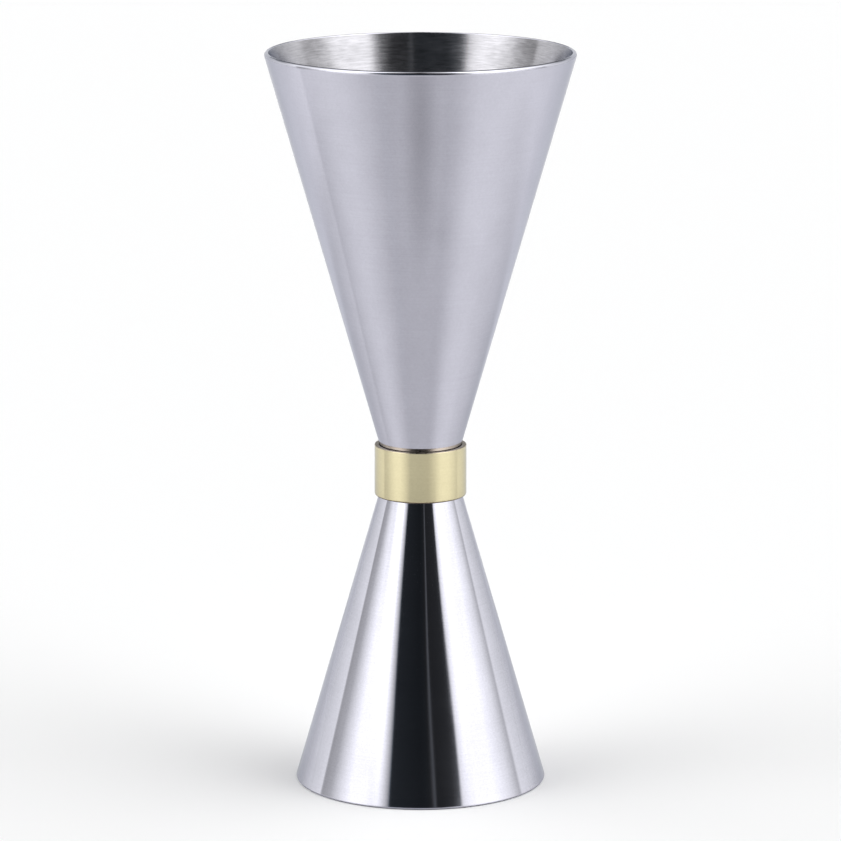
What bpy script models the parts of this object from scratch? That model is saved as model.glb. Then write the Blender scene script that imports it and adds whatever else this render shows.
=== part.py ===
"""Bar jigger: two cone cups set end to end, screwed together inside a collar band.

Lengths are in metres and +Z is up. The origin is the centre of the small cup's rim, which
the jigger stands on, and every piece is turned about the Z axis.
"""

import math

import bmesh
import bpy
from mathutils import Vector

MM = 0.001

# Cups
HEIGHT = 126.0 * MM
HALF_ANGLE = math.radians(16.1)
LARGE_RIM_RADIUS = 26.26 * MM
SMALL_RIM_RADIUS = 21.45 * MM
WALL = 0.8 * MM
FLOOR = 0.9 * MM
LIP_FILLET = 0.25 * MM
FLOOR_OUTER_FILLET = 1.0 * MM
FLOOR_INNER_FILLET = 1.6 * MM
FLOOR_SPACE = 5.0 * MM

# Collar band
COLLAR_MIDDLE = 54.25 * MM
COLLAR_HEIGHT = 8.8 * MM
COLLAR_RADIUS = 7.85 * MM
COLLAR_CREVICE = 0.28 * MM
COLLAR_EDGE_FILLET = 0.2 * MM
COLLAR_BORE_FILLET = 0.1 * MM
RIB_THICKNESS = 0.6 * MM
RIB_BORE_RADIUS = 4.4 * MM

# Screwed joint: M5 x 0.8
THREAD_RADIUS = 2.5 * MM
THREAD_PITCH = 0.8 * MM
THREAD_DEPTH = 0.43 * MM
THREAD_RELIEF = 0.5 * MM
THREAD_CREST = 0.125
THREAD_ROOT = 0.25
FLANGE_RADIUS = 3.6 * MM
CORE_CHAMFER = 0.3 * MM

# Clearance kept between pieces that touch on the real object
CONTACT_GAP = 0.3 * MM

# Mesh fineness
TURN_STEPS = 72
THREAD_SIDES = 32
THREAD_ROWS_PER_PITCH = 8
FILLET_STEPS = 3
WIDE_FILLET_STEPS = 4
SHARP_ANGLE = math.radians(35)
MERGE_DISTANCE = 0.000001

# Heights that follow from the driving dimensions
COLLAR_BOTTOM = COLLAR_MIDDLE - COLLAR_HEIGHT / 2
COLLAR_TOP = COLLAR_MIDDLE + COLLAR_HEIGHT / 2
LARGE_FLOOR = COLLAR_MIDDLE + FLOOR_SPACE / 2
SMALL_FLOOR = COLLAR_MIDDLE - FLOOR_SPACE / 2
RIB_TOP = LARGE_FLOOR - CONTACT_GAP
RIB_BOTTOM = RIB_TOP - RIB_THICKNESS
CORE_TOP = RIB_BOTTOM - CONTACT_GAP
CORE_BOTTOM = SMALL_FLOOR + CONTACT_GAP
STUD_END = CORE_BOTTOM + CONTACT_GAP


def steel(name, colour, roughness):
    """Bare metal: colour is linear RGB."""
    material = bpy.data.materials.new(name)
    material.use_nodes = True
    shader = material.node_tree.nodes["Principled BSDF"]
    shader.inputs["Base Color"].default_value = (*colour, 1.0)
    shader.inputs["Metallic"].default_value = 1.0
    shader.inputs["Roughness"].default_value = roughness
    return material


def add_object(name, bm, material):
    """Link a finished bmesh as a named, smooth-shaded object."""
    bmesh.ops.recalc_face_normals(bm, faces=bm.faces[:])
    mesh = bpy.data.meshes.new(name)
    bm.to_mesh(mesh)
    bm.free()
    mesh.shade_smooth()
    mesh.set_sharp_from_angle(angle=SHARP_ANGLE)
    mesh.materials.append(material)
    piece = bpy.data.objects.new(name, mesh)
    bpy.context.collection.objects.link(piece)
    return piece


def corner(radius, height, fillet=0.0, steps=FILLET_STEPS):
    """One corner of a turned outline, with the radius that rounds it off."""
    return Vector((radius, height)), fillet, steps


def round_corner(before, point, after, fillet, steps):
    """Points along the arc that touches both sides of a corner."""
    if fillet == 0.0:
        return [point]
    towards_before = (before - point).normalized()
    towards_after = (after - point).normalized()
    half = towards_before.angle(towards_after) / 2
    centre = point + (towards_before + towards_after).normalized() * fillet / math.sin(half)
    start = point + towards_before * fillet / math.tan(half) - centre
    end = point + towards_after * fillet / math.tan(half) - centre
    arc = [start.slerp(end, step / steps).normalized() for step in range(steps + 1)]
    return [centre + direction * fillet for direction in arc]


def rounded_outline(corners):
    """Outline through all corners, each one rounded. Its two ends are never rounded."""
    points = [point for point, _, _ in corners]
    outline = []
    for index, (point, fillet, steps) in enumerate(corners):
        before = points[index - 1]
        after = points[(index + 1) % len(points)]
        outline += round_corner(before, point, after, fillet, steps)
    return outline


def turned_piece(name, corners, is_ring, material):
    """Spin an outline of (radius, height) corners about Z. A ring's outline is a closed loop."""
    outline = rounded_outline(corners)
    bm = bmesh.new()
    verts = [bm.verts.new((radius, 0.0, height)) for radius, height in outline]
    edges = [bm.edges.new(pair) for pair in zip(verts, verts[1:])]
    if is_ring:
        edges.append(bm.edges.new((verts[-1], verts[0])))
    bmesh.ops.spin(
        bm,
        geom=verts + edges,
        cent=(0.0, 0.0, 0.0),
        axis=(0.0, 0.0, 1.0),
        angle=math.tau,
        steps=TURN_STEPS,
        use_merge=True,
    )
    bmesh.ops.remove_doubles(bm, verts=bm.verts[:], dist=MERGE_DISTANCE)
    return add_object(name, bm, material)


def cone_radius(rim_radius, depth):
    """Outer radius of a cup at a depth below its rim plane."""
    lip_corner = LIP_FILLET * (1.0 / math.cos(HALF_ANGLE) + math.tan(HALF_ANGLE) - 1.0)
    return rim_radius + lip_corner - depth * math.tan(HALF_ANGLE)


def cup(name, rim_radius, rim_height, floor_height, material):
    """A cone cup with a flat closed floor and a rounded lip that has a narrow flat land."""
    inwards = 1.0 if rim_height > floor_height else -1.0
    across_wall = WALL / math.cos(HALF_ANGLE)
    outer_depth = abs(rim_height - floor_height)
    inner_depth = outer_depth - FLOOR
    inner_floor = floor_height + inwards * FLOOR
    outer_floor_radius = cone_radius(rim_radius, outer_depth)
    inner_floor_radius = cone_radius(rim_radius, inner_depth) - across_wall
    outer_lip_radius = cone_radius(rim_radius, 0.0)
    corners = [
        corner(0.0, floor_height),
        corner(outer_floor_radius, floor_height, FLOOR_OUTER_FILLET, WIDE_FILLET_STEPS),
        corner(outer_lip_radius, rim_height, LIP_FILLET),
        corner(outer_lip_radius - across_wall, rim_height, LIP_FILLET),
        corner(inner_floor_radius, inner_floor, FLOOR_INNER_FILLET, WIDE_FILLET_STEPS),
        corner(0.0, inner_floor),
    ]
    return turned_piece(name, corners, False, material)


def collar_bore_radii():
    """Bore radius at the collar's top and bottom, a crevice wider than the cup there."""
    top = cone_radius(LARGE_RIM_RADIUS, HEIGHT - COLLAR_TOP) + COLLAR_CREVICE
    bottom = cone_radius(SMALL_RIM_RADIUS, COLLAR_BOTTOM) + COLLAR_CREVICE
    return top, bottom


def collar_band(material):
    """The ring round the joint, with an inner rib that the screwed joint clamps."""
    top_bore, bottom_bore = collar_bore_radii()
    corners = [
        corner(COLLAR_RADIUS, COLLAR_BOTTOM, COLLAR_EDGE_FILLET),
        corner(COLLAR_RADIUS, COLLAR_TOP, COLLAR_EDGE_FILLET),
        corner(top_bore, COLLAR_TOP, COLLAR_BORE_FILLET),
        corner(top_bore, RIB_TOP),
        corner(RIB_BORE_RADIUS, RIB_TOP),
        corner(RIB_BORE_RADIUS, RIB_BOTTOM),
        corner(bottom_bore, RIB_BOTTOM),
        corner(bottom_bore, COLLAR_BOTTOM, COLLAR_BORE_FILLET),
    ]
    return turned_piece("collar_band", corners, True, material)


def thread_height(angle, height):
    """Share of the thread's depth, from 0 at the root to 1 at the crest, on a right-hand helix."""
    phase = (height / THREAD_PITCH - angle / math.tau) % 1.0
    from_crest = abs(phase - 0.5)
    flank = (1.0 - THREAD_CREST - THREAD_ROOT) / 2.0
    share = 1.0 - (from_crest - THREAD_CREST / 2.0) / flank
    return min(1.0, max(0.0, share))


def thread_radius(angle, height):
    """Radius of the stud's threaded surface."""
    return THREAD_RADIUS - THREAD_DEPTH * (1.0 - thread_height(angle, height))


def ring(height, radius_at):
    """Points round the axis at one height, whose radius may change with the angle."""
    angles = [math.tau * side / THREAD_SIDES for side in range(THREAD_SIDES)]
    return [
        (radius_at(angle) * math.cos(angle), radius_at(angle) * math.sin(angle), height)
        for angle in angles
    ]


def round_ring(height, radius):
    """A true circle of points at one height."""
    return ring(height, lambda angle: radius)


def thread_heights(bottom, top):
    """Evenly spaced heights that are fine enough for the thread."""
    rows = round((top - bottom) / THREAD_PITCH * THREAD_ROWS_PER_PITCH)
    return [bottom + (top - bottom) * row / rows for row in range(rows + 1)]


def skinned_piece(name, rings, has_bore, material):
    """Join rings into a skin. It closes on itself round a bore, or with a flat face at each end."""
    bm = bmesh.new()
    loops = [[bm.verts.new(point) for point in points] for points in rings]
    pairs = list(zip(loops, loops[1:]))
    if has_bore:
        pairs.append((loops[-1], loops[0]))
    else:
        bm.faces.new(loops[0])
        bm.faces.new(loops[-1])
    for lower, upper in pairs:
        for side in range(THREAD_SIDES):
            after = (side + 1) % THREAD_SIDES
            bm.faces.new((lower[side], lower[after], upper[after], upper[side]))
    return add_object(name, bm, material)


def joining_stud(material):
    """A flanged stud that hangs from the large cup's floor, with its free end chamfered."""
    root = THREAD_RADIUS - THREAD_DEPTH
    flange_bottom = RIB_BOTTOM
    thread_top = flange_bottom - THREAD_RELIEF

    def threaded(height):
        chamfer = root + (height - STUD_END)
        return ring(height, lambda angle: min(thread_radius(angle, height), chamfer))

    rings = [threaded(height) for height in thread_heights(STUD_END, thread_top)]
    rings.append(round_ring(thread_top + THREAD_RELIEF / 2, root))
    rings.append(round_ring(flange_bottom, root))
    rings.append(round_ring(flange_bottom, FLANGE_RADIUS))
    rings.append(round_ring(RIB_TOP, FLANGE_RADIUS))
    return skinned_piece("joining_stud", rings, False, material)


def threaded_core(material):
    """A tapped disc on the small cup's floor. The collar's lower bore sits round its rim."""
    _, collar_bore = collar_bore_radii()
    rim = collar_bore - CONTACT_GAP
    mouth = THREAD_RADIUS + 2 * CONTACT_GAP

    def tapped(height):
        from_face = min(height - CORE_BOTTOM, CORE_TOP - height)
        chamfer = mouth - from_face
        return ring(height, lambda angle: max(thread_radius(angle, height) + CONTACT_GAP, chamfer))

    rings = [tapped(height) for height in thread_heights(CORE_BOTTOM, CORE_TOP)]
    rings.append(round_ring(CORE_TOP, rim - CORE_CHAMFER))
    rings.append(round_ring(CORE_TOP - CORE_CHAMFER, rim))
    rings.append(round_ring(CORE_BOTTOM + CORE_CHAMFER, rim))
    rings.append(round_ring(CORE_BOTTOM, rim - CORE_CHAMFER))
    return skinned_piece("threaded_core", rings, True, material)


def build():
    for old in list(bpy.data.objects):
        bpy.data.objects.remove(old)
    cup("large_cup", LARGE_RIM_RADIUS, HEIGHT, LARGE_FLOOR, steel("large_steel", (0.72, 0.72, 0.74), 0.16))
    cup("small_cup", SMALL_RIM_RADIUS, 0.0, SMALL_FLOOR, steel("small_steel", (0.74, 0.74, 0.76), 0.08))
    collar_band(steel("pale_gold", (0.80, 0.72, 0.48), 0.18))
    joining_stud(steel("stud_steel", (0.55, 0.55, 0.56), 0.35))
    threaded_core(steel("core_steel", (0.55, 0.55, 0.56), 0.40))


build()
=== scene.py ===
"""Looks of the bar jigger: polished steel cups, brushed insides and a pale gold collar band.

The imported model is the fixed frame. Lengths are in metres, +Z is up, and the jigger stands on
z = 0 with its axis on Z. Directions are given as azimuth, from the camera's side (-Y) towards
+X, and elevation above the horizon, both in degrees.
"""

import math

import bmesh
import bpy
from mathutils import Euler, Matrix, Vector


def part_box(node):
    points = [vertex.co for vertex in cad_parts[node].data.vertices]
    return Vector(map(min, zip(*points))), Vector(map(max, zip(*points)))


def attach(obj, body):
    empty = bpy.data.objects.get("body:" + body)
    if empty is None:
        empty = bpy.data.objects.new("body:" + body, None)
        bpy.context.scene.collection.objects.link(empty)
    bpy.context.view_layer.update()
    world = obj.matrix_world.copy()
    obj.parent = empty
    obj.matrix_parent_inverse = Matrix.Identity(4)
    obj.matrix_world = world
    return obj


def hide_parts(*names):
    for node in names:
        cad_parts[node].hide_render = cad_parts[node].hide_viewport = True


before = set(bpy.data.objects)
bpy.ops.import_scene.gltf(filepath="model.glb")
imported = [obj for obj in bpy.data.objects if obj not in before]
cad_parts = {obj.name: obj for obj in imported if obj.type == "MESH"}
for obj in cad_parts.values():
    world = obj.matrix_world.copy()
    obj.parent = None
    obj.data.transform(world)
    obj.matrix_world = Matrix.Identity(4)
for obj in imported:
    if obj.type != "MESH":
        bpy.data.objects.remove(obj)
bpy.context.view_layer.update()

MM = 0.001

# Shape of the cups' finished surfaces. Both cones have the same half angle.
HALF_ANGLE = math.radians(16.1)
WALL = 0.8 * MM
CUP_FLOOR = 0.9 * MM
LARGE_LIP_FILLET = 0.52 * MM
SMALL_LIP_FILLET = 0.25 * MM
INNER_LIP_FILLET = 0.2 * MM
FOOT_OUTER_FILLET = 1.0 * MM
FOOT_INNER_FILLET = 1.6 * MM

# Shape of the collar band. The crevice is the gap round each cone where it enters the band, and
# the contact gap lies between the rib and the large cup's floor.
COLLAR_CREVICE = 0.13 * MM
COLLAR_TOP_FILLET = 0.15 * MM
COLLAR_BOTTOM_FILLET = 0.4 * MM
COLLAR_BORE_FILLET = 0.05 * MM
RIB_THICKNESS = 0.6 * MM
RIB_BORE_RADIUS = 4.4 * MM
CONTACT_GAP = 0.3 * MM

# Mesh fineness. EDGE_ROW is the distance of the first and last rows of a straight stretch from
# its ends.
AROUND = 288
ARC_STEPS = 8
CONE_ROWS = 40
BAND_ROWS = 3
EDGE_ROW = 0.03 * MM
MERGE_DISTANCE = 0.0001 * MM
SHARP_ANGLE = math.radians(40)

# Base colour and roughness of each metal, and the tint of them all at a grazing angle
POLISHED_STEEL = ((0.605, 0.604, 0.672), 0.06)
BRUSHED_STEEL = ((0.47, 0.465, 0.49), 0.19)
GOLD = ((0.75, 0.68, 0.43), 0.08)
# The collar band's top and underside golds are cut gold darkened with painted shade: at the top
# round the crevice by the large cup, and under the band
TOP_GOLD_CUT_AND_PAINTED_SHADE = ((0.50, 0.43, 0.33), 0.30)
UNDER_GOLD_PAINTED_SHADE = ((0.24, 0.18, 0.11), 0.30)
STUD_STEEL = ((0.50, 0.50, 0.52), 0.34)
CORE_STEEL = ((0.46, 0.46, 0.48), 0.42)
EDGE_TINT = (0.82, 0.84, 0.88)

# Grain of the metals: features per metre along X, Y and Z
POLISH_LINES = (90.0, 90.0, 9000.0)
POLISH_GRAIN = (2600.0, 2600.0, 2600.0)
POLISH_SMUDGES = (160.0, 160.0, 110.0)
POLISH_WAVES = (70.0, 70.0, 30.0)
FINE_SCRATCHES = (420.0, 420.0, 5000.0)
COARSE_SCRATCHES = (160.0, 160.0, 1800.0)
BRUSHED_PATCHES = (300.0, 300.0, 300.0)
TOOL_RINGS = (40.0, 40.0, 5000.0)
TOOL_GRAIN = (2500.0, 2500.0, 2500.0)

# Relief of the grain
POLISH_LINE_HEIGHT = 0.0006 * MM
POLISH_WAVE_HEIGHT = 0.006 * MM
SCRATCH_HEIGHT = 0.0007 * MM
TOOL_RING_HEIGHT = 0.01 * MM

# How much the grain changes the colour, as a share of it
POLISH_SHADING = 0.16
BRUSHED_SHADING = 0.7
TOOL_SHADING = 0.2

# How much the grain changes the roughness. On polished metal it is a share of the roughness.
SMUDGE_ROUGHNESS = 0.8
LINE_ROUGHNESS = 0.5
SCRATCH_ROUGHNESS = 0.10
PATCH_ROUGHNESS = 0.12
TOOL_ROUGHNESS = 0.25

# Brushed metal: the stretch of its highlights, the quarter turn that lays the scratches round the
# axis, and the weights of coarse scratches and patches beside the fine scratches
BRUSHED_STRETCH = 0.85
BRUSHED_TURN = 0.25
COARSE_SHARE = 0.35
PATCH_SHARE = 0.7

# Camera, with its lens and sensor in millimetres
CAMERA_DISTANCE = 800.0 * MM
CAMERA_HEIGHT = 230.4 * MM
CAMERA_PITCH = math.radians(11.84)
CAMERA_LENS = 205.14
CAMERA_SENSOR = 36.0

# Table top and backdrop as the camera sees them
TABLE_SIZE = 16.0
TABLE_DROP = 0.05 * MM
TABLE_WHITE = (0.93, 0.93, 0.93)
BACKDROP_WHITE = (0.98, 0.98, 0.98)

# Table top as the metal sees it: glossy, with painted shade: darker near the jigger and far
# away, and darker again in a round painted shadow in front. The level changes between the two
# radii of each ring.
TABLE_COLOUR = (0.845, 0.838, 0.863)
TABLE_ROUGHNESS = 0.05
TABLE_IOR = 1.8
PAINTED_SHADOW_CENTRE = (0.0, -0.16, 0.0)
PAINTED_SHADOW_RADIUS = 0.055
PAINTED_SHADOW_LEVEL = 0.72
NEAR_SHADE_RING = (0.205, 0.26)
NEAR_SHADE_LEVEL = 0.82
FAR_SHADE_RING = (0.28, 0.5)
FAR_SHADE_LEVEL = 0.88

# Studio that the metal mirrors, in four rows, one above another: levels of light by azimuth.
# Two softboxes stand from about 35 to 80 degrees either side of the camera, and reach
# further back in the upper rows. Beyond them come pale side walls, with a sharp edge at about 108
# degrees
# on the left and, in the two lower rows, 102 on the right, and then dimmer paper at the back.
BRIGHTEST = 3.0
LOW_LEVELS = (
    (-180.0, 0.80),
    (-150.0, 0.76),
    (-129.0, 0.94),
    (-109.5, 1.12),
    (-108.0, 0.49),
    (-97.0, 0.62),
    (-85.0, 1.18),
    (-74.0, 1.65),
    (-58.0, 1.65),
    (-30.0, 0.20),
    (-5.0, 0.12),
    (14.0, 0.16),
    (49.0, 1.65),
    (68.0, 1.65),
    (87.0, 1.15),
    (99.0, 0.66),
    (101.5, 1.12),
    (116.0, 0.98),
    (140.0, 0.74),
    (180.0, 0.80),
)
MIDDLE_LEVELS = (
    (-180.0, 0.66),
    (-150.0, 0.74),
    (-129.0, 0.94),
    (-109.5, 1.12),
    (-108.0, 0.48),
    (-97.0, 0.60),
    (-86.0, 0.60),
    (-75.0, 1.10),
    (-66.0, 1.75),
    (-47.0, 1.90),
    (-35.7, 0.50),
    (-33.7, 0.026),
    (-2.0, 0.015),
    (8.0, 0.020),
    (9.0, 0.14),
    (10.0, 0.14),
    (11.0, 0.022),
    (27.0, 0.028),
    (33.2, 0.050),
    (34.3, 1.15),
    (43.0, 1.85),
    (70.0, 1.50),
    (80.0, 0.95),
    (88.0, 0.75),
    (102.0, 0.62),
    (103.8, 1.12),
    (116.0, 0.98),
    (140.0, 0.74),
    (180.0, 0.66),
)
UPPER_LEVELS = (
    (-180.0, 0.30),
    (-148.0, 0.40),
    (-128.0, 0.85),
    (-119.5, 1.15),
    (-108.8, 1.60),
    (-107.6, 0.80),
    (-100.0, 1.30),
    (-90.0, 1.80),
    (-70.0, 1.90),
    (-50.0, 1.95),
    (-41.0, 1.75),
    (-37.7, 0.30),
    (-35.3, 0.030),
    (-5.0, 0.026),
    (6.3, 0.026),
    (7.0, 0.20),
    (8.4, 0.20),
    (9.1, 0.026),
    (35.4, 0.034),
    (38.2, 0.30),
    (42.5, 1.65),
    (50.0, 1.95),
    (72.0, 1.90),
    (95.0, 1.75),
    (110.0, 1.45),
    (130.0, 0.90),
    (148.0, 0.40),
    (180.0, 0.30),
)
HIGH_LEVELS = (
    (-180.0, 0.5),
    (-150.0, 0.5),
    (-128.0, 1.2),
    (-108.8, 1.55),
    (-107.6, 0.80),
    (-92.0, 1.90),
    (-81.0, 2.45),
    (-70.0, 2.60),
    (-58.0, 2.00),
    (-48.0, 1.25),
    (-37.0, 0.30),
    (-26.0, 0.03),
    (0.0, 0.03),
    (26.0, 0.05),
    (35.0, 0.70),
    (44.0, 1.75),
    (54.0, 2.60),
    (67.0, 2.85),
    (78.0, 2.75),
    (88.0, 2.30),
    (100.0, 1.90),
    (113.0, 1.60),
    (130.0, 1.20),
    (150.0, 0.5),
    (180.0, 0.5),
)

# Elevations between which each row fades into the one above it
MIDDLE_BLEND = (12.5, 14.5)
UPPER_BLEND = (20.5, 22.5)
HIGH_BLEND = (28.0, 31.0)

# Low down, the rows are turned this far towards +X. The turn ends between two elevations.
LEAN = 5.0
LEAN_BLEND = (14.5, 18.0)

# Dark gaps behind the jigger, and high up in front. Each pair runs from outside the gap to inside.
GAP_DARKNESS = 0.95
BACK_GAP_SIDE = (160.0, 168.0)
BACK_GAP_BOTTOM = (14.5, 16.0)
BACK_GAP_TOP = (60.0, 45.0)
HIGH_GAP_SIDE = (44.0, 30.0)
HIGH_GAP_BOTTOM = (46.0, 54.0)

# The dark parts of the studio are bluish. The left tint gives way to the right one between two
# azimuths, and both fade out between two levels of light.
LEFT_TINT = (0.86, 1.0, 1.14)
RIGHT_TINT = (0.95, 1.0, 1.06)
NO_TINT = (1.0, 1.0, 1.0)
TINT_SIDES = (2.0, 7.0)
TINT_LEVELS = (0.1, 0.5)


# ---------------------------------------------------------------- node helpers


def add_node(tree, kind, inputs=None, **settings):
    """A node with its settings made and its inputs either linked or set."""
    node = tree.nodes.new(kind)
    for name, value in settings.items():
        setattr(node, name, value)
    for socket, value in (inputs or {}).items():
        if isinstance(value, bpy.types.NodeSocket):
            tree.links.new(value, node.inputs[socket])
        else:
            node.inputs[socket].default_value = value
    return node


def maths(tree, operation, first, second=0.0):
    """Result of one Math node."""
    node = add_node(tree, "ShaderNodeMath", {0: first, 1: second}, operation=operation)
    return node.outputs[0]


def ramp(tree, value, low, high, bottom=0.0, top=1.0):
    """Smooth step from bottom at low to top at high."""
    inputs = {"Value": value, 1: low, 2: high, 3: bottom, 4: top}
    node = add_node(tree, "ShaderNodeMapRange", inputs, interpolation_type="SMOOTHSTEP")
    return node.outputs[0]


def blend(tree, factor, first, second):
    """Mix of two numbers."""
    inputs = {0: factor, 2: first, 3: second}
    return add_node(tree, "ShaderNodeMix", inputs, data_type="FLOAT").outputs[0]


def blend_colours(tree, factor, first, second):
    """Mix of two colours."""
    inputs = {0: factor, 6: first, 7: second}
    return add_node(tree, "ShaderNodeMix", inputs, data_type="RGBA").outputs[2]


def scaled_colour(tree, colour, factor):
    """A colour multiplied by a number."""
    inputs = {0: colour, "Scale": factor}
    return add_node(tree, "ShaderNodeVectorMath", inputs, operation="SCALE").outputs[0]


def relief(tree, height, distance, normal=None):
    """Normal of a surface with a bump, on top of another normal if there is one."""
    inputs = {"Height": height, "Strength": 1.0, "Distance": distance}
    if normal is not None:
        inputs["Normal"] = normal
    return add_node(tree, "ShaderNodeBump", inputs).outputs[0]


def end_tree(tree, kind, seen, mirrored):
    """Ends a tree with one shader that the camera sees and another that the metal mirrors."""
    camera_ray = add_node(tree, "ShaderNodeLightPath").outputs["Is Camera Ray"]
    mix = add_node(tree, "ShaderNodeMixShader", {0: camera_ray, 1: mirrored, 2: seen})
    add_node(tree, kind, {"Surface": mix.outputs[0]})


def scaled_noise(tree, coordinates, scale, detail, roughness):
    """Noise from -0.5 to 0.5 with its own number of features per metre along X, Y and Z."""
    mapping = add_node(tree, "ShaderNodeMapping", {"Vector": coordinates, "Scale": scale})
    inputs = {"Vector": mapping.outputs[0], "Scale": 1.0, "Detail": detail, "Roughness": roughness}
    noise = add_node(tree, "ShaderNodeTexNoise", inputs)
    return maths(tree, "SUBTRACT", noise.outputs["Fac"], 0.5)


# ---------------------------------------------------------------- studio


def studio_light(tree, azimuth, levels):
    """Light level at an azimuth. A colour ramp holds the levels, as shares of BRIGHTEST."""
    turn = maths(tree, "ADD", maths(tree, "MULTIPLY", azimuth, 1.0 / 360.0), 0.5)
    node = add_node(tree, "ShaderNodeValToRGB", {"Fac": turn})
    stops = node.color_ramp.elements
    stops.remove(stops[1])
    for index, (degrees, level) in enumerate(levels):
        stop = stops[0] if index == 0 else stops.new(degrees / 360.0 + 0.5)
        stop.position = degrees / 360.0 + 0.5
        stop.color = (level / BRIGHTEST, level / BRIGHTEST, level / BRIGHTEST, 1.0)
    return maths(tree, "MULTIPLY", node.outputs["Color"], BRIGHTEST)


def dark_gaps(tree, degrees, elevation):
    """How far each direction lies in the gap behind and in the gap high up in front, 0 to 1."""
    aside = maths(tree, "ABSOLUTE", degrees)
    above_bottom = ramp(tree, elevation, *BACK_GAP_BOTTOM)
    below_top = ramp(tree, elevation, *BACK_GAP_TOP)
    back_height = maths(tree, "MULTIPLY", above_bottom, below_top)
    back = maths(tree, "MULTIPLY", ramp(tree, aside, *BACK_GAP_SIDE), back_height)
    high_up = ramp(tree, elevation, *HIGH_GAP_BOTTOM)
    high = maths(tree, "MULTIPLY", ramp(tree, aside, *HIGH_GAP_SIDE), high_up)
    return back, high


def make_world():
    """A studio with two softboxes, pale walls and dark gaps. The camera itself sees plain white."""
    world = bpy.data.worlds.new("studio")
    bpy.context.scene.world = world
    world.use_nodes = True
    tree = world.node_tree
    tree.nodes.clear()
    direction = add_node(tree, "ShaderNodeTexCoord").outputs["Generated"]
    split = add_node(tree, "ShaderNodeSeparateXYZ", {0: direction})
    towards_camera = maths(tree, "MULTIPLY", split.outputs["Y"], -1.0)
    turn = maths(tree, "ARCTAN2", split.outputs["X"], towards_camera)
    degrees = maths(tree, "DEGREES", turn)
    elevation = maths(tree, "DEGREES", maths(tree, "ARCSINE", split.outputs["Z"]))
    azimuth = maths(tree, "ADD", degrees, ramp(tree, elevation, *LEAN_BLEND, -LEAN, 0.0))

    strength = studio_light(tree, azimuth, LOW_LEVELS)
    for levels, elevations in (
        (MIDDLE_LEVELS, MIDDLE_BLEND),
        (UPPER_LEVELS, UPPER_BLEND),
        (HIGH_LEVELS, HIGH_BLEND),
    ):
        row = studio_light(tree, azimuth, levels)
        strength = blend(tree, ramp(tree, elevation, *elevations), strength, row)
    for gap in dark_gaps(tree, degrees, elevation):
        shade = maths(tree, "SUBTRACT", 1.0, maths(tree, "MULTIPLY", gap, GAP_DARKNESS))
        strength = maths(tree, "MULTIPLY", strength, shade)

    side = ramp(tree, azimuth, *TINT_SIDES)
    dark_tint = blend_colours(tree, side, (*LEFT_TINT, 1.0), (*RIGHT_TINT, 1.0))
    tint = blend_colours(tree, ramp(tree, strength, *TINT_LEVELS), dark_tint, (*NO_TINT, 1.0))
    studio = add_node(tree, "ShaderNodeBackground", {"Color": tint, "Strength": strength})
    backdrop = add_node(tree, "ShaderNodeBackground", {"Color": (*BACKDROP_WHITE, 1.0)})
    end_tree(tree, "ShaderNodeOutputWorld", backdrop.outputs[0], studio.outputs[0])


def make_floor():
    """A plain pale table top, white to the camera and, with painted shade, unevenly bright to the
    metal above it.
    """
    mesh = bpy.data.meshes.new("floor")
    half = TABLE_SIZE / 2
    corners = [(-half, -half, 0.0), (half, -half, 0.0), (half, half, 0.0), (-half, half, 0.0)]
    mesh.from_pydata(corners, [], [(0, 1, 2, 3)])
    floor = bpy.data.objects.new("floor", mesh)
    floor.location.z = -TABLE_DROP
    bpy.context.collection.objects.link(floor)
    material = bpy.data.materials.new("pale_table")
    material.use_nodes = True
    tree = material.node_tree
    tree.nodes.clear()
    place = add_node(tree, "ShaderNodeTexCoord").outputs["Object"]
    from_patch = add_node(
        tree, "ShaderNodeVectorMath", {0: place, 1: PAINTED_SHADOW_CENTRE}, operation="DISTANCE"
    ).outputs["Value"]
    from_axis = add_node(
        tree, "ShaderNodeVectorMath", {0: place}, operation="LENGTH"
    ).outputs["Value"]
    # Painted shade for the metal to mirror: a round painted shadow in front, and darker rings near
    # the jigger and far away
    painted_shadow = ramp(tree, from_patch, 0.0, PAINTED_SHADOW_RADIUS, PAINTED_SHADOW_LEVEL, 1.0)
    near = ramp(tree, from_axis, *NEAR_SHADE_RING, NEAR_SHADE_LEVEL, 1.0)
    far = ramp(tree, from_axis, *FAR_SHADE_RING, 1.0, FAR_SHADE_LEVEL)
    shade = maths(tree, "MULTIPLY", painted_shadow, maths(tree, "MULTIPLY", near, far))
    gloss = add_node(
        tree,
        "ShaderNodeBsdfPrincipled",
        {
            "Base Color": scaled_colour(tree, TABLE_COLOUR, shade),
            "Roughness": TABLE_ROUGHNESS,
            "IOR": TABLE_IOR,
        },
    )
    matt = add_node(tree, "ShaderNodeBsdfDiffuse", {"Color": (*TABLE_WHITE, 1.0)})
    end_tree(tree, "ShaderNodeOutputMaterial", matt.outputs[0], gloss.outputs[0])
    mesh.materials.append(material)


def make_camera():
    """The camera looks slightly down at the jigger from -Y through a long lens."""
    data = bpy.data.cameras.new("camera")
    data.lens = CAMERA_LENS
    data.sensor_width = CAMERA_SENSOR
    camera = bpy.data.objects.new("camera", data)
    camera.location = (0.0, -CAMERA_DISTANCE, CAMERA_HEIGHT)
    camera.rotation_euler = Euler((math.pi / 2 - CAMERA_PITCH, 0.0, 0.0))
    bpy.context.collection.objects.link(camera)
    bpy.context.scene.camera = camera


# ---------------------------------------------------------------- metals


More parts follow.
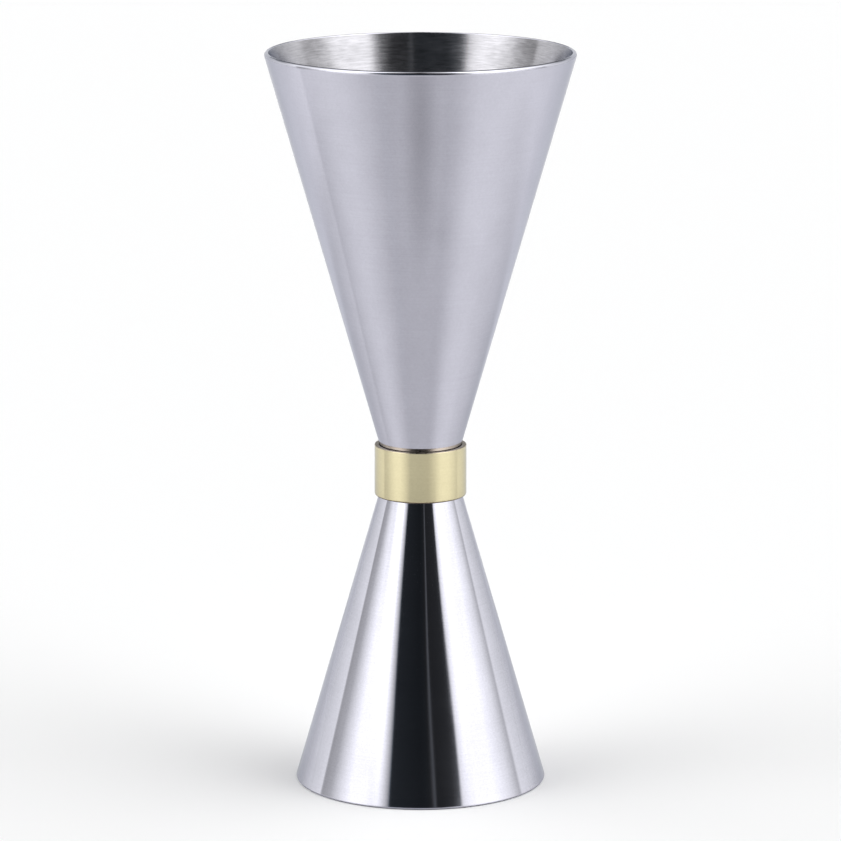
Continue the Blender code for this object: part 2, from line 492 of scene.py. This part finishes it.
def metal(name, colour, roughness):
    """A plain metal material, with its tree, shader and object coordinates."""
    material = bpy.data.materials.new(name)
    material.use_nodes = True
    tree = material.node_tree
    shader = tree.nodes["Principled BSDF"]
    shader.inputs["Base Color"].default_value = (*colour, 1.0)
    shader.inputs["Metallic"].default_value = 1.0
    shader.inputs["Roughness"].default_value = roughness
    shader.inputs["Specular Tint"].default_value = (*EDGE_TINT, 1.0)
    coordinates = add_node(tree, "ShaderNodeTexCoord").outputs["Object"]
    return material, tree, shader, coordinates


def vary_colour(tree, shader, colour, amount, noise):
    """Lightens and darkens the base colour a little by a noise."""
    factor = maths(tree, "ADD", maths(tree, "MULTIPLY", noise, amount), 1.0)
    tree.links.new(scaled_colour(tree, colour, factor), shader.inputs["Base Color"])


def polished_metal(name, colour, roughness):
    """Buffed metal: faint turning lines, smudges, a fine grain and slight waves."""
    material, tree, shader, coordinates = metal(name, colour, roughness)
    lines = scaled_noise(tree, coordinates, POLISH_LINES, detail=4.0, roughness=0.6)
    grain = scaled_noise(tree, coordinates, POLISH_GRAIN, detail=2.0, roughness=0.6)
    smudges = scaled_noise(tree, coordinates, POLISH_SMUDGES, detail=4.0, roughness=0.55)
    waves = scaled_noise(tree, coordinates, POLISH_WAVES, detail=1.0, roughness=0.4)
    shades = maths(tree, "ADD", maths(tree, "ADD", smudges, grain), lines)
    vary_colour(tree, shader, colour, POLISH_SHADING, shades)
    smudged = maths(tree, "MULTIPLY", smudges, roughness * SMUDGE_ROUGHNESS)
    lined = maths(tree, "MULTIPLY", lines, roughness * LINE_ROUGHNESS)
    rough = maths(tree, "ADD", maths(tree, "ADD", smudged, lined), roughness)
    tree.links.new(rough, shader.inputs["Roughness"])
    turned = relief(tree, lines, POLISH_LINE_HEIGHT)
    wavy = relief(tree, waves, POLISH_WAVE_HEIGHT, turned)
    tree.links.new(wavy, shader.inputs["Normal"])
    return material


def brushed_metal(name, colour, roughness):
    """Metal brushed round the axis: fine and coarse rings of scratches."""
    material, tree, shader, coordinates = metal(name, colour, roughness)
    shader.inputs["Anisotropic"].default_value = BRUSHED_STRETCH
    shader.inputs["Anisotropic Rotation"].default_value = BRUSHED_TURN
    fine = scaled_noise(tree, coordinates, FINE_SCRATCHES, detail=3.0, roughness=0.6)
    coarse = scaled_noise(tree, coordinates, COARSE_SCRATCHES, detail=3.0, roughness=0.5)
    patches = scaled_noise(tree, coordinates, BRUSHED_PATCHES, detail=3.0, roughness=0.5)
    lines = maths(tree, "ADD", fine, maths(tree, "MULTIPLY", coarse, COARSE_SHARE))
    shades = maths(tree, "ADD", lines, maths(tree, "MULTIPLY", patches, PATCH_SHARE))
    vary_colour(tree, shader, colour, BRUSHED_SHADING, shades)
    scratched = maths(tree, "MULTIPLY", lines, SCRATCH_ROUGHNESS)
    patched = maths(tree, "MULTIPLY", patches, PATCH_ROUGHNESS)
    rough = maths(tree, "ADD", maths(tree, "ADD", scratched, patched), roughness)
    tree.links.new(rough, shader.inputs["Roughness"])
    tree.links.new(relief(tree, lines, SCRATCH_HEIGHT), shader.inputs["Normal"])
    tangent = add_node(tree, "ShaderNodeTangent", direction_type="RADIAL", axis="Z")
    tree.links.new(tangent.outputs[0], shader.inputs["Tangent"])
    return material


def machined_metal(name, colour, roughness):
    """Plain turned metal: tool rings and a dull, uneven finish."""
    material, tree, shader, coordinates = metal(name, colour, roughness)
    rings = scaled_noise(tree, coordinates, TOOL_RINGS, detail=2.0, roughness=0.5)
    grain = scaled_noise(tree, coordinates, TOOL_GRAIN, detail=3.0, roughness=0.6)
    vary_colour(tree, shader, colour, TOOL_SHADING, grain)
    rough = maths(tree, "ADD", maths(tree, "MULTIPLY", grain, TOOL_ROUGHNESS), roughness)
    tree.links.new(rough, shader.inputs["Roughness"])
    tree.links.new(relief(tree, rings, TOOL_RING_HEIGHT), shader.inputs["Normal"])
    return material


# ---------------------------------------------------------------- turned shapes


def arc(before, point, after, fillet):
    """Points along the arc that rounds off one corner of an outline."""
    towards_before = (before - point).normalized()
    towards_after = (after - point).normalized()
    half = towards_before.angle(towards_after) / 2
    centre = point + (towards_before + towards_after).normalized() * fillet / math.sin(half)
    start = point + towards_before * fillet / math.tan(half) - centre
    end = point + towards_after * fillet / math.tan(half) - centre
    points = []
    for step in range(ARC_STEPS + 1):
        points.append(centre + start.slerp(end, step / ARC_STEPS).normalized() * fillet)
    return points


def straight(start, end, rows):
    """Points between two others, with one close to each end so that the surface shades flat."""
    margin = EDGE_ROW / (end - start).length
    fractions = [margin] + [row / rows for row in range(1, rows)] + [1.0 - margin]
    return [start.lerp(end, fraction) for fraction in fractions]


def turned_mesh(name, sections, materials, is_ring=False):
    """Turn an outline round Z. Each section of it is a list of points and its material's index.

    A point holds a radius and a height. A ring's outline closes on itself.
    """
    outline = []
    indices = []
    for points, index in sections:
        outline += points
        indices += [index] * len(points)
    bm = bmesh.new()
    loops = []
    for point in outline:
        loop = []
        for step in range(AROUND):
            angle = math.tau * step / AROUND
            place = (point.x * math.cos(angle), point.x * math.sin(angle), point.y)
            loop.append(bm.verts.new(place))
        loops.append(loop)
    last = len(loops) if is_ring else len(loops) - 1
    for row in range(last):
        lower = loops[row]
        upper = loops[(row + 1) % len(loops)]
        for step in range(AROUND):
            after = (step + 1) % AROUND
            face = bm.faces.new((lower[step], lower[after], upper[after], upper[step]))
            face.material_index = indices[row]
    bmesh.ops.remove_doubles(bm, verts=bm.verts[:], dist=MERGE_DISTANCE)
    bmesh.ops.recalc_face_normals(bm, faces=bm.faces[:])
    mesh = bpy.data.meshes.new(name)
    bm.to_mesh(mesh)
    bm.free()
    mesh.shade_smooth()
    mesh.set_sharp_from_angle(angle=SHARP_ANGLE)
    for material in materials:
        mesh.materials.append(material)
    piece = bpy.data.objects.new(name, mesh)
    bpy.context.collection.objects.link(piece)
    return piece


def cone_radius(rim_radius, lip_fillet, depth):
    """Outer radius of a cup at a depth below its rim plane."""
    lip_corner = lip_fillet * (1.0 / math.cos(HALF_ANGLE) + math.tan(HALF_ANGLE) - 1.0)
    return rim_radius + lip_corner - depth * math.tan(HALF_ANGLE)


def make_cup(name, rim_radius, rim_height, floor_height, lip_fillet, outside, inside):
    """A cup's finished skin: polished outside and lip, brushed inside."""
    inwards = 1.0 if rim_height > floor_height else -1.0
    across_wall = WALL / math.cos(HALF_ANGLE)
    depth = abs(rim_height - floor_height)
    inner_floor = floor_height + inwards * CUP_FLOOR
    axis_outside = Vector((0.0, floor_height))
    outer_floor = Vector((cone_radius(rim_radius, lip_fillet, depth), floor_height))
    outer_lip = Vector((cone_radius(rim_radius, lip_fillet, 0.0), rim_height))
    inner_lip = Vector((outer_lip.x - across_wall, rim_height))
    inner_radius = cone_radius(rim_radius, lip_fillet, depth - CUP_FLOOR) - across_wall
    inner_edge = Vector((inner_radius, inner_floor))
    axis_inside = Vector((0.0, inner_floor))
    foot = arc(axis_outside, outer_floor, outer_lip, FOOT_OUTER_FILLET)
    lip_out = arc(outer_floor, outer_lip, inner_lip, lip_fillet)
    lip_in = arc(outer_lip, inner_lip, inner_edge, INNER_LIP_FILLET)
    inner_foot = arc(inner_lip, inner_edge, axis_inside, FOOT_INNER_FILLET)
    outer_disc = straight(foot[0], axis_outside, BAND_ROWS)[-2::-1]
    outer_wall = straight(foot[-1], lip_out[0], CONE_ROWS)
    inner_wall = straight(lip_in[-1], inner_foot[0], CONE_ROWS)
    inner_disc = straight(inner_foot[-1], axis_inside, BAND_ROWS)[:-1]
    sections = [
        ([axis_outside] + outer_disc + foot + outer_wall + lip_out + lip_in[:-1], 0),
        (lip_in[-1:] + inner_wall + inner_foot + inner_disc + [axis_inside], 1),
    ]
    return turned_mesh(name, sections, [outside, inside])


def make_collar(name, radius, bottom, top, top_cone, bottom_cone, rib_top, materials):
    """The collar band's finished skin. Its materials are for the face, the top and the underside.

    The face takes a quarter of each rounded edge. The rib and the bore above it go with the top,
    and the bore below it goes with the underside. The top and the underside are cut gold darkened
    with painted shade.
    """
    top_bore = top_cone + COLLAR_CREVICE
    bottom_bore = bottom_cone + COLLAR_CREVICE
    rib_bottom = rib_top - RIB_THICKNESS
    corners = [
        (Vector((radius, bottom)), COLLAR_BOTTOM_FILLET),
        (Vector((radius, top)), COLLAR_TOP_FILLET),
        (Vector((top_bore, top)), COLLAR_BORE_FILLET),
        (Vector((top_bore, rib_top)), 0.0),
        (Vector((RIB_BORE_RADIUS, rib_top)), 0.0),
        (Vector((RIB_BORE_RADIUS, rib_bottom)), 0.0),
        (Vector((bottom_bore, rib_bottom)), 0.0),
        (Vector((bottom_bore, bottom)), COLLAR_BORE_FILLET),
    ]
    points = [corner for corner, _ in corners]
    bends = []
    for index, (corner, fillet) in enumerate(corners):
        after = points[(index + 1) % len(points)]
        bends.append(arc(points[index - 1], corner, after, fillet) if fillet else [corner])
    runs = []
    for index, bend in enumerate(bends):
        following = bends[(index + 1) % len(bends)]
        runs.append(bend + straight(bend[-1], following[0], BAND_ROWS))
    face, top_side, underside = range(len(materials))
    quarter = ARC_STEPS // 4
    lower = ARC_STEPS - quarter
    sections = [
        (runs[0][:lower], underside),
        (runs[0][lower:] + runs[1][:quarter], face),
        (runs[1][quarter:] + sum(runs[2:6], []), top_side),
        (sum(runs[6:], []), underside),
    ]
    return turned_mesh(name, sections, materials, is_ring=True)


# ---------------------------------------------------------------- assembly


def make_skins():
    """The finished skins of the three pieces that show, each standing for its CAD node."""
    outside = polished_metal("polished_steel", *POLISHED_STEEL)
    inside = brushed_metal("brushed_steel", *BRUSHED_STEEL)
    gold = polished_metal("champagne_gold", *GOLD)
    # Cut gold for the collar's top and underside, darkened with painted shade
    top_gold_painted_shade = machined_metal("cut_gold_painted_shade_edge", *TOP_GOLD_CUT_AND_PAINTED_SHADE)
    under_gold_painted_shade = machined_metal("under_gold_painted_shade_edge", *UNDER_GOLD_PAINTED_SHADE)

    large_low, large_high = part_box("large_cup")
    small_low, small_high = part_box("small_cup")
    collar_low, collar_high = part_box("collar_band")
    large = make_cup(
        "large_cup_skin", large_high.x, large_high.z, large_low.z, LARGE_LIP_FILLET, outside, inside
    )
    small = make_cup(
        "small_cup_skin", small_high.x, small_low.z, small_high.z, SMALL_LIP_FILLET, outside, inside
    )
    collar = make_collar(
        "collar_skin",
        collar_high.x,
        collar_low.z,
        collar_high.z,
        cone_radius(large_high.x, LARGE_LIP_FILLET, large_high.z - collar_high.z),
        cone_radius(small_high.x, SMALL_LIP_FILLET, collar_low.z - small_low.z),
        large_low.z - CONTACT_GAP,
        [gold, top_gold_painted_shade, under_gold_painted_shade],
    )
    for piece, node, slot in (
        (large, "large_cup", "large_cup_steel"),
        (small, "small_cup", "small_cup_steel"),
        (collar, "collar_band", "collar_gold"),
    ):
        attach(piece, "root")
        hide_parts(node)


def finish_hidden_nodes():
    """The stud and the core keep their CAD meshes and get a turned steel."""
    for node, steel in (("joining_stud", STUD_STEEL), ("threaded_core", CORE_STEEL)):
        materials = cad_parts[node].data.materials
        materials.clear()
        materials.append(machined_metal(node + "_steel", *steel))


def main():
    bpy.context.scene.view_settings.view_transform = "Standard"
    make_camera()
    make_world()
    make_floor()
    make_skins()
    finish_hidden_nodes()


main()
